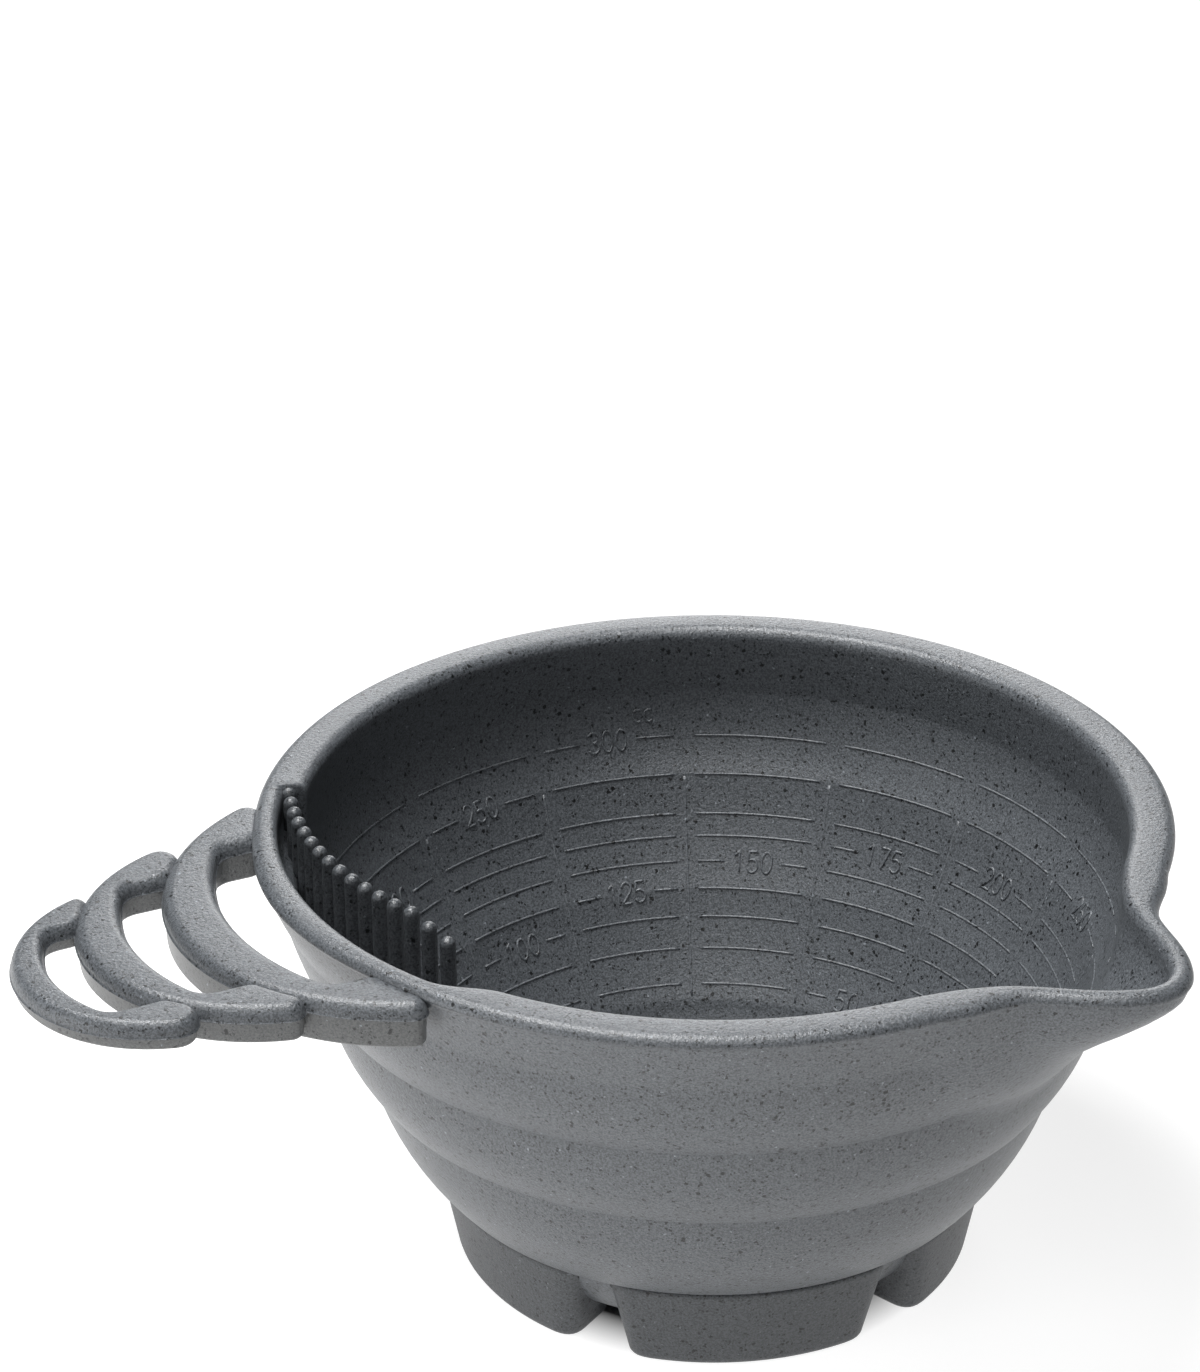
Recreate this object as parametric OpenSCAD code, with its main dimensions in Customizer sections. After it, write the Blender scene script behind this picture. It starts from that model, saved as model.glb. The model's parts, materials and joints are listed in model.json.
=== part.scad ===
// Hair colour mixing bowl with a pour spout, a three-loop handle, a brush comb and five feet.
// Millimetres, +Z up. The origin is on the bowl's axis, on the plane that the feet stand on.
// The handle points along -X. Angles are counted from +X, seen from above.

/* [Bowl] */
// Height of the rim above the feet
bowl_h = 68.4; // [66:0.1:71]
// Outer radius of the rim
rim_r = 64; // [63.6:0.1:65]
// Inner radius of the rim
rim_inner_r = 57.6; // [57.2:0.1:58]
// Thickness of the rim
rim_t = 4.5; // [4:0.1:5]
// Edge rounding of the rim
rim_round = 1.7; // [1:0.1:2]
// Thickness of the floor
floor_t = 2.5; // [2:0.1:3]
// Inner radius of the flat floor
floor_r = 27; // [25:0.5:29]
// How far the wall bands bulge outwards between two creases
band_bulge = 1.2; // [0.6:0.1:1.6]
// How far each band stands proud of the band below it
band_lip = 0.45; // [0.2:0.05:0.8]

/* [Pour spout] */
// Direction of the spout
spout_angle = -66; // [-80:1:-55]
// Half of the angle that the spout takes out of the rim
spout_half_angle = 20; // [19:0.5:21]
// Distance of the spout's nose from the bowl's axis
spout_reach = 78.6; // [77.5:0.1:80]
// Width of the rim along the spout
spout_rim_w = 3.5; // [3:0.1:4]
// Wall thickness of the channel
spout_wall = 2.2; // [2:0.1:2.6]

/* [Handle] */
// Height of the handle's top face
handle_top = 67.4; // [66:0.1:68.2]
// Outer radius of the inner loop
loop_inner_r = 34.4; // [34:0.1:35]
// Outer radius of the middle loop
loop_middle_r = 25.6; // [25.2:0.1:26]
// Outer radius of the outer loop
loop_outer_r = 20.1; // [19.6:0.1:20.3]
// Turn of the outer loop about the bowl's axis
loop_outer_turn = 2; // [0:0.1:3]
// Thickness of the inner loop
loop_inner_t = 6.5; // [6:0.1:7]
// Thickness of the middle loop
loop_middle_t = 5.4; // [5:0.1:6]
// Thickness of the outer loop
loop_outer_t = 4.1; // [4:0.1:5]

/* [Comb] */
// Number of pins
pin_count = 17; // [13:1:17]
// Diameter of a pin
pin_d = 2.15; // [1.8:0.05:2.4]
// Distance from pin to pin along the arc
pin_pitch = 3.13; // [3.05:0.01:3.2]
// Height of the pins' tips
pin_top = 67.9; // [66:0.1:68.4]
// Wall thickness behind the comb, where the rim is cut back
comb_wall = 3; // [2.6:0.1:3.4]

/* [Feet] */
// Radius of the feet where they stand
foot_r = 37.1; // [36.5:0.1:38]
// Outer wall thickness of a foot
foot_wall = 2.6; // [2.2:0.1:3]
// Thickness of a foot's side walls
foot_side = 2.4; // [2:0.1:3]
// Width of the slot between two feet at the floor
foot_slot = 8; // [6:0.5:9]
// Radius of the inner ends of a foot's side walls
foot_inner_r = 27.5; // [26:0.5:29]

/* [Markings] */
// Height of the raised lines above the wall
mark_relief = 0.3; // [0.2:0.05:0.4]
// Width of the raised lines
mark_w = 0.4; // [0.3:0.05:0.6]
// Gap between two stretches of a graduation line
mark_gap = 3.1; // [2:0.1:4]
// Height of a numeral
digit_h = 3.2; // [2.6:0.1:3.6]
// Direction of the first meridian line
meridian_angle = 68; // [60:0.5:76]

/* [Hidden] */
$fn = 96;

slate = [0.36, 0.38, 0.41];
slate_dark = [0.28, 0.30, 0.33];
slate_light = [0.44, 0.46, 0.49];
eps = 0.01;

// Creases of the outside, [radius, height], from the rim down to the feet
crease_top = [60.4, 58.6];
crease_upper = [55.7, 46.3];
crease_middle = [49.7, 31.9];
crease_lower = [40.1, 14.0];
// Steps of the inside, level with the creases
step_top = [58.2, 57.6];
step_upper = [53.9, 45.7];
step_middle = [46.0, 29.9];
step_lower = [37.8, 14.9];
// How far the underside stands back from the lowest crease
foot_inset = 1.6;
// Height of the floor's upper face
floor_z = 4.4;
// Height of the rim's lower face
rim_base = bowl_h - rim_t;
band_steps = 6;

// Points of a shallow bulge from p to q, which stands out by b at its middle
function bulge(p, q, b, n = band_steps) =
    let (d = q - p, side = [-d[1], d[0]] / norm(d))
    [for (i = [0:n]) let (t = i / n) p + d * t + side * (4 * b * t * (1 - t))];

function arc(c, r, a0, a1, n) =
    [for (i = [0:n]) let (a = a0 + (a1 - a0) * i / n) c + r * [cos(a), sin(a)]];

function reversed(list) = [for (i = [len(list) - 1:-1:0]) list[i]];

// A crease point moved outwards by d, along the line from the step to the crease
function proud(crease, step, d) = crease + (crease - step) / norm(crease - step) * d;

// Inside of each band, from top to bottom
inside_upper = bulge(step_top, step_upper, 0.75);
inside_middle = bulge(step_upper, step_middle, 0.45);
inside_lower = bulge(step_middle, step_lower, 0.35);
inside_floor = bulge(step_lower, [floor_r, floor_z], 1.9);
inside_wall = concat(inside_upper, inside_middle, inside_lower, inside_floor);
// Underside of the floor, from the lower crease inwards
underside = concat([crease_lower], bulge(crease_lower - [foot_inset, 0.3], [floor_r + 0.6, floor_z - floor_t], 2.1),
                   [[0, floor_z - floor_t]]);

// Inner radius of the wall at height z
wall_table = [for (p = reversed(inside_wall)) [p[1], p[0]]];
function wall_r(z) = lookup(z, wall_table);

module ring(points, start = 0, sweep = 360) {
    rotate([0, 0, start])
        rotate_extrude(angle = sweep)
            polygon(points);
}

// One band of the wall between two creases, bulged outside and inside
module wall_band(top, bottom, top_step, bottom_step, inside_points) {
    outer_top = proud(top, top_step, 0);
    outer_bottom = proud(bottom, bottom_step, band_lip);
    ring(concat(bulge(outer_top, outer_bottom, band_bulge), reversed(inside_points)));
}

module bowl_floor() {
    color(slate_light)
        ring(concat([[0, floor_z]], reversed(inside_floor), underside));
}

module wall_band_lower() {
    color(slate)
        wall_band(crease_middle, crease_lower, step_middle, step_lower, inside_lower);
}

module wall_band_middle() {
    color(slate_light)
        wall_band(crease_upper, crease_middle, step_upper, step_middle, inside_middle);
}

module wall_band_upper() {
    color(slate)
        difference() {
            wall_band(crease_top, crease_upper, step_top, step_upper, inside_upper);
            spout_channel(0);
        }
}

// The stretch of the wall under the rim, which is cut away where the spout opens
fairing_top = [rim_r - 1.6, rim_base];
module wall_band_top() {
    color(slate_light)
        difference() {
            ring([step_top, crease_top, fairing_top, [rim_inner_r + 1, rim_base]]);
            spout_channel(0);
            comb_recess();
        }
}

/* Rim */
rim_profile = concat(
    [[rim_inner_r + 1, rim_base], fairing_top],
    [[rim_r, rim_base + rim_round]],
    arc([rim_r - rim_round, bowl_h - rim_round], rim_round, 0, 90, 4),
    arc([rim_inner_r + rim_round, bowl_h - rim_round], rim_round, 90, 180, 4),
    [[rim_inner_r, rim_base + 1]]);

comb_zone_start = 144;
comb_zone_sweep = 61;
// Where the comb stands, the rim is cut back to a plain wall
module comb_recess() {
    ring([[rim_inner_r - 3, step_top[1] + 0.2],
          [crease_top[0] - comb_wall + 0.6, step_top[1] + 0.2],
          [rim_r - comb_wall, bowl_h + 1],
          [rim_inner_r - 3, bowl_h + 1]], comb_zone_start, comb_zone_sweep);
}

module rim() {
    color(slate_light)
        difference() {
            ring(rim_profile, spout_angle + spout_half_angle, 360 - 2 * spout_half_angle);
            comb_recess();
        }
}

/* Pour spout */
nose_r = 6.4;
// The channel is a cone that lies on its side, level with the rim, and widens towards the bowl
channel_slope = 38;
channel_nose_r = 4.2;
channel_nose_x = spout_reach - spout_rim_w - channel_nose_r;
channel_root_x = 50;

// Half of the spout's outline, from the nose to the neck, where it meets the round rim
function spout_outer() = concat(
    arc([spout_reach - nose_r, 0], nose_r, 0, 58, 6),
    [[71.1, 9.8], [66.2, 13.0], [63.0, 16.0], [61.4, 18.9],
     rim_r * [cos(spout_half_angle), sin(spout_half_angle)]]);
function mirrored(points) = [for (p = points) [p[0], -p[1]]];

// The cone of the channel, grown by g, with a round nose
module spout_channel(g) {
    r = channel_nose_r + g;
    root = channel_nose_x - channel_root_x;
    root_r = (r + root * sin(channel_slope)) / cos(channel_slope);
    rotate([0, 0, spout_angle])
        translate([channel_nose_x, 0, bowl_h + 0.3])
            rotate([0, -90, 0])
                rotate_extrude()
                    polygon(concat([[0, -r]], arc([0, 0], r, -67.5, -channel_slope, 2), [[root_r, root], [0, root]]));
}

// Everything inside the outer surface of the bowl, as one turned solid
module bowl_envelope() {
    ring(concat([[0, bowl_h + 1]], [[rim_r, bowl_h + 1], [rim_r, rim_base + rim_round], fairing_top],
                bulge(crease_top, proud(crease_upper, step_upper, band_lip), band_bulge),
                bulge(crease_upper, proud(crease_middle, step_middle, band_lip), band_bulge),
                bulge(crease_middle, proud(crease_lower, step_lower, band_lip), band_bulge),
                underside));
}

module above(z) {
    translate([0, 0, z])
        cylinder(r = 2 * rim_r, h = bowl_h);
}

// The rim runs on round the nose; the wall of the channel hangs from it
module pour_spout() {
    color(slate)
        difference() {
            union() {
                rotate([0, 0, spout_angle])
                    translate([0, 0, rim_base])
                        linear_extrude(rim_t)
                            polygon(concat([[0, 0]], mirrored(reversed(spout_outer())), spout_outer()));
                difference() {
                    spout_channel(spout_wall);
                    bowl_envelope();
                    above(rim_base + rim_t / 2);
                }
            }
            translate([0, 0, rim_base - 1])
                cylinder(r = rim_inner_r, h = rim_t + 2);
            spout_channel(0);
        }
}

/* Handle */
// Distance of each loop's centre from the bowl's axis
loop_inner_x = 45;
loop_middle_x = 66.6;
loop_outer_x = 82.4;

module disc(x, r) {
    translate([-x, 0])
        circle(r);
}

// A flat crescent: a disc less the piece that it leans on and less its finger hole
module loop(x, r, hole_x, hole_r, hole_half_w, top, t) {
    translate([0, 0, top - t])
        linear_extrude(t)
            difference() {
                disc(x, r);
                children();
                intersection() {
                    disc(hole_x, hole_r);
                    translate([-200, -hole_half_w])
                        square([200, 2 * hole_half_w]);
                }
            }
}

module handle_loop_inner() {
    color(slate)
        loop(loop_inner_x, loop_inner_r, 31.3, 39.9, 20.5, handle_top, loop_inner_t)
            circle(rim_r);
}

module handle_loop_middle() {
    color(slate_light)
        loop(loop_middle_x, loop_middle_r, 51.8, 33.2, 15.5, handle_top, loop_middle_t)
            disc(loop_inner_x, loop_inner_r);
}

module handle_loop_outer() {
    color(slate)
        rotate([0, 0, loop_outer_turn])
            loop(loop_outer_x, loop_outer_r, 74.7, 22.6, 11.6, handle_top, loop_outer_t)
                rotate([0, 0, -loop_outer_turn])
                    union() {
                        disc(loop_middle_x, loop_middle_r);
                        disc(loop_inner_x, loop_inner_r);
                    }
}

/* Comb */
comb_centre = [2.6, 14.6];
comb_r = 56.3;
comb_mid_angle = 184.5;
pin_step = pin_pitch / comb_r * 180 / PI;
// The pins nearest the front get shorter, pin by pin
function pin_tip(i) = i == 0 ? pin_top - 2.4 : (i == 1 ? pin_top - 1.2 : pin_top);

// The hollow that the pins stand in, with the wall cut back behind them
module comb_hollow() {
    ring(concat([[0, bowl_h + 1], [0, floor_z]], reversed(inside_floor), reversed(inside_lower),
                reversed(inside_middle), reversed(inside_upper),
                [[crease_top[0] - comb_wall + 0.6, step_top[1] + 0.2], [rim_r - comb_wall, bowl_h + 1]]));
}

module brush_comb() {
    color(slate_dark)
        intersection() {
            comb_hollow();
            union()
                for (i = [0:pin_count - 1])
                    at_comb_angle(comb_mid_angle + (8 - i) * pin_step)
                        comb_pin(pin_tip(i));
        }
}

module at_comb_angle(a) {
    translate(comb_centre + comb_r * [cos(a), sin(a)])
        children();
}

module comb_pin(tip) {
    translate([0, 0, 30])
        cylinder(d = pin_d, h = tip - pin_d / 2 - 30);
    translate([0, 0, tip - pin_d / 2])
        sphere(d = pin_d);
}

/* Feet */
// Directions of the slots; each foot lies between two of them, and the second foot is the narrowest
slot_angles = [144, 218.2, 285.8, 360, 432, 504];
foot_slot_angle = foot_slot / foot_r * 180 / PI;
foot_top = crease_lower[1];
foot_top_r = crease_lower[0] - 0.3;

// An outer wall and two side walls that meet the underside of the bowl; open below
module foot(k) {
    side_angle = foot_side / foot_r * 180 / PI;
    start = slot_angles[k] + foot_slot_angle / 2;
    foot_angle = slot_angles[k + 1] - slot_angles[k] - foot_slot_angle;
    color(slate_dark)
        difference() {
            ring([[foot_inner_r, 0], [foot_r - 0.8, 0], [foot_r, 0.8], [foot_top_r - 0.5, foot_top / 2],
                  [foot_top_r, foot_top], [foot_inner_r, foot_top]], start, foot_angle);
            ring([[foot_inner_r - 1, -1], [foot_r - foot_wall, -1], [foot_r - foot_wall + 0.6, foot_top + 1],
                  [foot_inner_r - 1, foot_top + 1]], start + side_angle, foot_angle - 2 * side_angle);
            ring(concat([[0, foot_top + 1], [crease_lower[0] + 2, foot_top + 1],
                         [crease_lower[0] + 2, foot_top]], underside));
        }
}

/* Markings */
meridian_count = 15;
sector = 360 / meridian_count;
// Heights of the graduations of 50, 75, 100, 125, 150, 175, 200, 250 and 300 cubic centimetres
level_value = [50, 75, 100, 125, 150, 175, 200, 250, 300];
level_z = [17.0, 21.7, 26.0, 29.9, 33.5, 36.9, 40.0, 45.6, 50.9];
// Each value is written in every fifth sector
label_period = 5;
label_angle_w = 4.5;
digit_w = 1.5;
digit_stroke = 0.4;
label_w = 3 * digit_w + 2 * 0.6 + 2;

function label_sector(level) = len(level_z) - 1 - level;
function has_label(level, s) = (s - label_sector(level)) % label_period == 0;
function sector_mid(s) = meridian_angle + sector * (s + 0.5);

// A stretch of line on the wall at height z
module wall_line(z, start, sweep) {
    low = z - mark_w / 2;
    high = z + mark_w / 2;
    ring([[wall_r(low), low], [wall_r(high), high],
          [wall_r(high) - mark_relief, high], [wall_r(low) - mark_relief, low]], start, sweep);
}

module graduation_lines() {
    color(slate_light)
        for (level = [0:len(level_z) - 1], s = [0:meridian_count - 1]) {
            z = level_z[level];
            gap = mark_gap / wall_r(z) * 180 / PI;
            start = meridian_angle + sector * s + gap / 2;
            label = label_w / wall_r(z) * 180 / PI;
            if (!in_comb(sector_mid(s), z))
                if (has_label(level, s)) {
                    wall_line(z, start, (sector - gap - label) / 2);
                    wall_line(z, start + (sector - gap + label) / 2, (sector - gap - label) / 2);
                } else
                    wall_line(z, start, sector - gap);
        }
}

// The lines stop short of the pins, which stand on the upper part of the wall
function in_comb(a, z) =
    let (b = (a % 360 + 360) % 360)
    z > 36 && b > comb_zone_start - sector / 2 && b < comb_zone_start + comb_zone_sweep + sector / 2;

module meridian_lines() {
    color(slate_light)
        for (s = [0:meridian_count - 1])
            rotate([0, 0, meridian_angle + sector * s])
                for (line = [inside_middle, inside_lower])
                    if (line == inside_lower || !in_comb(meridian_angle + sector * s, 40))
                        rotate([90, 0, 0])
                            translate([0, 0, -mark_w / 2])
                                linear_extrude(mark_w)
                                    polygon(concat(line, [for (p = reversed(line)) p - [mark_relief, 0]]));
}

// Strokes of a plain numeral on a grid one unit wide and two units high
function strokes(d) =
    d == 0 ? [[0, 0, 1, 0], [1, 0, 1, 2], [1, 2, 0, 2], [0, 2, 0, 0]] :
    d == 1 ? [[0.5, 0, 0.5, 2], [0.1, 1.5, 0.5, 2]] :
    d == 2 ? [[0, 2, 1, 2], [1, 2, 1, 1.1], [1, 1.1, 0, 0], [0, 0, 1, 0]] :
    d == 3 ? [[0, 2, 1, 2], [1, 2, 1, 0], [0.3, 1.05, 1, 1.05], [0, 0, 1, 0]] :
    d == 5 ? [[1, 2, 0, 2], [0, 2, 0, 1.1], [0, 1.1, 1, 1.1], [1, 1.1, 1, 0], [1, 0, 0, 0]] :
    d == 7 ? [[0, 2, 1, 2], [1, 2, 0.4, 0]] :
    [[1, 2, 0, 2], [0, 2, 0, 0], [0, 0, 1, 0]];

module stroke(p, q) {
    d = q - p;
    translate(p)
        rotate(atan2(d[1], d[0]))
            translate([-digit_stroke / 2, -digit_stroke / 2])
                square([norm(d) + digit_stroke, digit_stroke]);
}

// A raised character that leans on the wall at angle a and height z
module wall_character(c, a, z, w, h) {
    slope = atan2(wall_r(z + 1) - wall_r(z - 1), 2);
    rotate([0, 0, a])
        translate([wall_r(z), 0, z])
            rotate([0, slope, 0])
                rotate([90, 0, -90])
                    translate([-w / 2, -h / 2, -eps])
                        linear_extrude(mark_relief + eps)
                            union()
                                for (s = strokes(c))
                                    stroke([s[0] * w, s[1] * h / 2], [s[2] * w, s[3] * h / 2]);
}

function digits(v) = v < 100 ? [floor(v / 10), v % 10] : [floor(v / 100), floor(v / 10) % 10, v % 10];

module graduation_numerals() {
    color(slate_light)
        for (level = [0:len(level_z) - 1], s = [0:meridian_count - 1])
            if (has_label(level, s) && !in_comb(sector_mid(s), level_z[level])) {
                z = level_z[level];
                list = digits(level_value[level]);
                pitch = (digit_w + 0.6) / wall_r(z) * 180 / PI;
                for (i = [0:len(list) - 1])
                    wall_character(list[i], sector_mid(s) + pitch * ((len(list) - 1) / 2 - i), z, digit_w, digit_h);
            }
}

// The letters c c beside every 300
unit_z = 54.2;
module unit_marks() {
    color(slate_light)
        for (s = [0:meridian_count - 1])
            if (has_label(len(level_z) - 1, s) && !in_comb(sector_mid(s), unit_z))
                for (i = [0, 1])
                    wall_character(-1, sector_mid(s) - 4.5 - 2.2 * i, unit_z, 1.3, 1.9);
}

bowl_floor();
wall_band_lower();
wall_band_middle();
wall_band_upper();
wall_band_top();
rim();
pour_spout();
handle_loop_inner();
handle_loop_middle();
handle_loop_outer();
brush_comb();
foot(0);  // foot_1
foot(1);  // foot_2
foot(2);  // foot_3
foot(3);  // foot_4
foot(4);  // foot_5
graduation_lines();
meridian_lines();
graduation_numerals();
unit_marks();
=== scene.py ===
"""Hair colour mixing bowl: what is seen of it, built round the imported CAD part.

The bowl's lengths are in millimetres, and MM turns them into metres; the stage, the lamps
and the camera are in metres. Directions are in degrees.
The frame is the part's own: +Z up, the feet on z = 0, the handle along -X.
"""

import json
import math
from collections import namedtuple

import bpy
import numpy as np
from mathutils import Matrix, Vector
from mathutils.geometry import tessellate_polygon


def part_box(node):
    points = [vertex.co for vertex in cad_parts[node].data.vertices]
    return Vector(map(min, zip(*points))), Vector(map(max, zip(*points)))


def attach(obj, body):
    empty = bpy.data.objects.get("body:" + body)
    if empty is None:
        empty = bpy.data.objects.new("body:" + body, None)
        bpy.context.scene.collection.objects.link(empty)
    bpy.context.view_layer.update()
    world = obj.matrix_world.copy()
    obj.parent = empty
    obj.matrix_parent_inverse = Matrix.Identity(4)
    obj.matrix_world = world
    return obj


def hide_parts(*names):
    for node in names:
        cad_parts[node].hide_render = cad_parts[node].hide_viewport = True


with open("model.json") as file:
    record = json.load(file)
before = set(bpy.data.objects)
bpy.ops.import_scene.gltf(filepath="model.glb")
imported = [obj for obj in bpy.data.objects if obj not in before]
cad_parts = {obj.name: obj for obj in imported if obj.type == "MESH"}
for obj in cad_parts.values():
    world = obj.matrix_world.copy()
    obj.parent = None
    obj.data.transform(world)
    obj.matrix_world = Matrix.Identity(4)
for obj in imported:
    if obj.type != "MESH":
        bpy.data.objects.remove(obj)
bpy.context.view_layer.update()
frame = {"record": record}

MM = 0.001
BODY = "root"

# Bowl
RIM_TOP = round(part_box("rim")[1].z / MM, 3)
RIM_R = 63.99
RIM_INNER_R = 57.7
RIM_ROUND = 1.75
PARTING_Z = RIM_TOP - 1.55
PARTING_STEP = 0.42
RIM_FLAT_HALF = 0.12
FLOOR_TOP = 4.4
FLOOR_BOTTOM = 1.9
FLOOR_R = 27.0
WALL_STEP = 1.0

# Outside of the wall: creases between the bands as (radius, height), from the rim down
CREASE_TOP = (60.4, 58.6)
CREASE_UPPER = (55.7, 46.3)
CREASE_MIDDLE = (49.7, 31.9)
CREASE_LOWER = (40.1, 14.0)
BAND_BULGES = [1.25, 1.2, 0.8]
BAND_LIP = (0.5, 0.12)
BAND_LIP_R = 0.45
CREASE_R = 0.12
CREASE_TOP_R = 3.0
UNDERSIDE_EDGE = (27.6, FLOOR_BOTTOM)
UNDERSIDE_TOP = (38.5, 13.5)
UNDERSIDE_BULGE = 2.0
# Inside of the wall: steps as (radius, height), from the rim down
STEP_TOP = (58.2, 57.6)
STEP_UPPER = (53.9, 45.7)
STEP_MIDDLE = (46.0, 29.9)
STEP_LOWER = (37.8, 14.9)
# Stretches of the inside: start, end, bulge (below 0 is away from the axis), rounding at its end
INNER_STRETCHES = [
    (STEP_TOP, STEP_UPPER, -0.75, 0.5),
    (STEP_UPPER, STEP_MIDDLE, -0.45, 0.5),
    (STEP_MIDDLE, STEP_LOWER, -0.35, 2.0),
    (STEP_LOWER, (FLOOR_R, FLOOR_TOP), -1.9, 5.0),
]

# Swell of the wall towards the handle: a circle round a point on the handle's side
SWELL_CENTRE = 16.8
SWELL_R = 48.35
SWELL_HALF_ANGLE = 40.0
SWELL_LOW_Z = 52.0
SWELL_RISE = 12.0

# Spout
SPOUT_ANGLE = -66.2
SPOUT_SECTOR = 24.0
SPOUT_COLUMN_STEP = 0.3
SPOUT_COLUMNS = int(round(2 * SPOUT_SECTOR / SPOUT_COLUMN_STEP))
SPOUT_SOFTNESS = 0.7
SPOUT_OUTER_DEPTH = 24.0
SPOUT_INNER_DEPTH = 20.0
SPOUT_OUTER_BLEND = 4.0
SPOUT_INNER_BLEND = 3.0
# Half-width and depth of the spout at a distance along its axis, outside and inside
SPOUT_OUTER_S = [52.0, 58.0, 60.1, 61.4, 62.7, 64.5, 67.9, 71.1, 74.3, 76.6, 77.8, 78.45]
SPOUT_OUTER_W = [26.0, 23.4, 21.0, 18.4, 16.3, 14.5, 12.2, 10.2, 7.7, 5.0, 2.9, 0.0]
SPOUT_OUTER_D = [25.0, 20.5, 18.2, 16.6, 15.2, 13.2, 10.4, 8.0, 5.4, 3.3, 2.0, 0.6]
SPOUT_INNER_S = [50.0, 54.0, 57.2, 60.0, 63.9, 67.3, 70.4, 72.9, 74.4, 75.2]
SPOUT_INNER_W = [24.0, 20.0, 16.7, 13.7, 10.9, 8.8, 6.7, 4.4, 2.7, 0.0]
SPOUT_INNER_D = [22.0, 17.8, 15.0, 12.6, 9.6, 7.2, 5.0, 3.2, 1.8, 0.5]

# Comb: where the inside is cut back for it and how far, then the arc that its pins stand on
COMB_START = 148.0
COMB_END = 206.0
COMB_BLEND = 10.0
COMB_CUT = 3.0
COMB_CUT_LOW_Z = 57.9
COMB_CUT_RISE = 5.0
COMB_CENTRE = (2.6, 14.6)
COMB_R = 56.3
COMB_FIRST_ANGLE = 209.97
COMB_STEP = 3.185
PIN_COUNT = 17
PIN_R = 1.08
PIN_TOP = 67.9
PIN_BASE_TOP = 63.0
PIN_BURIED = 1.2
PIN_COVER = 0.25
PIN_TIPS = {0: 65.4, 1: 66.7, PIN_COUNT - 1: RIM_TOP - 0.1}

# Handle: centres are distances from the bowl's axis, lean is the disc that a loop leans on,
# and turn is the loop's turn about the bowl's axis in degrees
HANDLE_TOP = 67.4
HANDLE_PARTING = 65.2
PARTING_RIDGE = 0.16
Loop = namedtuple(
    "Loop",
    "name centre r hole_centre hole_r hole_half lean_centre lean_r back_r front_r thickness rounding turn",
)
LOOPS = [
    Loop("handle_loop_inner", 45.0, 34.4, 31.3, 39.9, 20.5, 0.0, 64.0, 2.6, 2.3, 6.5, 2.0, 0.0),
    Loop("handle_loop_middle", 66.6, 25.6, 51.8, 33.2, 15.5, 45.0, 34.4, 3.0, 2.3, 5.4, 1.9, 0.0),
    Loop("handle_loop_outer", 82.4, 20.05, 74.7, 22.6, 11.6, 66.6, 25.6, 1.8, 3.3, 4.1, 1.6, 2.0),
]
LOOP_HOLE_CORNER_R = 2.8
LOOP_BACK_CORNER_R = 2.7
LOOP_OVERLAP = 1.3

# Feet: directions of the slots between them, and half-widths of a slot in degrees
SLOT_ANGLES = [144.0, 218.2, 285.8, 360.0, 432.0, 504.0]
SLOT_HALF_TOP = 2.8
SLOT_HALF_BOTTOM = 6.2
FOOT_TOP_Z = 14.2
FOOT_R_TOP = 39.9
FOOT_R_BOTTOM = 37.1
FOOT_INNER_R = 28.0
FOOT_CORNER_R = 3.3
FOOT_INNER_CORNER_R = 1.5
FOOT_TAIL_R = 1.0
FOOT_WALL = 2.5
FOOT_SINK = 0.6
FOOT_LOWEST_CEILING = 1.5
# Rounded lower edge of a foot: height and how far the edge is drawn in there
FOOT_EDGE = [(0.0, 1.1), (0.12, 0.62), (0.4, 0.26), (0.8, 0.06), (1.2, 0.0)]

# Markings: each level is (volume in cubic centimetres, height of its line)
LEVELS = [
    (300, 50.9),
    (250, 45.6),
    (200, 40.0),
    (175, 36.9),
    (150, 33.5),
    (125, 29.9),
    (100, 26.0),
    (75, 21.7),
    (50, 17.0),
]
SECTORS = 15
SECTOR = 360.0 / SECTORS
FIRST_EDGE = 68.0
LABEL_PERIOD = 5
LABEL_MARGIN = 2.4
LINE_W = 0.32
LINE_H = 0.15
LINE_GAP = 3.1
MERIDIAN_H = 0.6 * LINE_H
MERIDIAN_TOP = STEP_UPPER[1] - 0.4
MERIDIAN_BOTTOM = STEP_LOWER[1] + 0.5
MERIDIAN_TOP_AT_COMB = 33.0
MARK_RELIEF = 0.2
# Sizes of the characters: height, width, advance and stroke
DIGITS = (3.2, 1.55, 2.15, 0.38)
UNITS = (1.9, 1.3, 1.8, 0.36)
UNIT_Z = 54.2
UNIT_SHIFT = 5.8
# No marks behind the comb: lowest height, and degrees before its start and after its end
UNMARKED_LOW_Z = 36.0
UNMARKED_BEFORE = 16.0
UNMARKED_AFTER = 12.0

# Materials: colour of the slate plastic, then each plastic's share of it and its roughness
SLATE = (0.081, 0.088, 0.096)
PLASTICS = {
    "bowl_plastic": (1.0, 0.37),
    "handle_plastic": (1.0, 0.37),
    "comb_plastic": (0.75, 0.34),
    # The feet are the bowl's plastic; their smaller share is painted shade, for the shade under the bowl
    # that darkens them
    "foot_plastic": (0.66, 0.5),
    "marking_plastic": (1.15, 0.4),
}
ROUGHNESS_SPREAD = 0.10
GRAIN = 0.42
BUMP = 0.9
BUMP_DEPTH = 0.00015
# Flecks: cells per metre, share of the cells that hold one, largest size in cells, tone
FLECKS = [(2300.0, 0.32, 0.50, 0.12), (1250.0, 0.192, 0.42, 0.04), (1700.0, 0.08, 0.30, 2.6)]
# Tint of the handle below the mould's parting line, which is plainer, warmer and paler; the paler, warmer
# colour is painted light, the floor's glow on the lower flanks
PAINTED_UNDERGLOW_TINT = (1.26, 1.20, 1.10)

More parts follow.
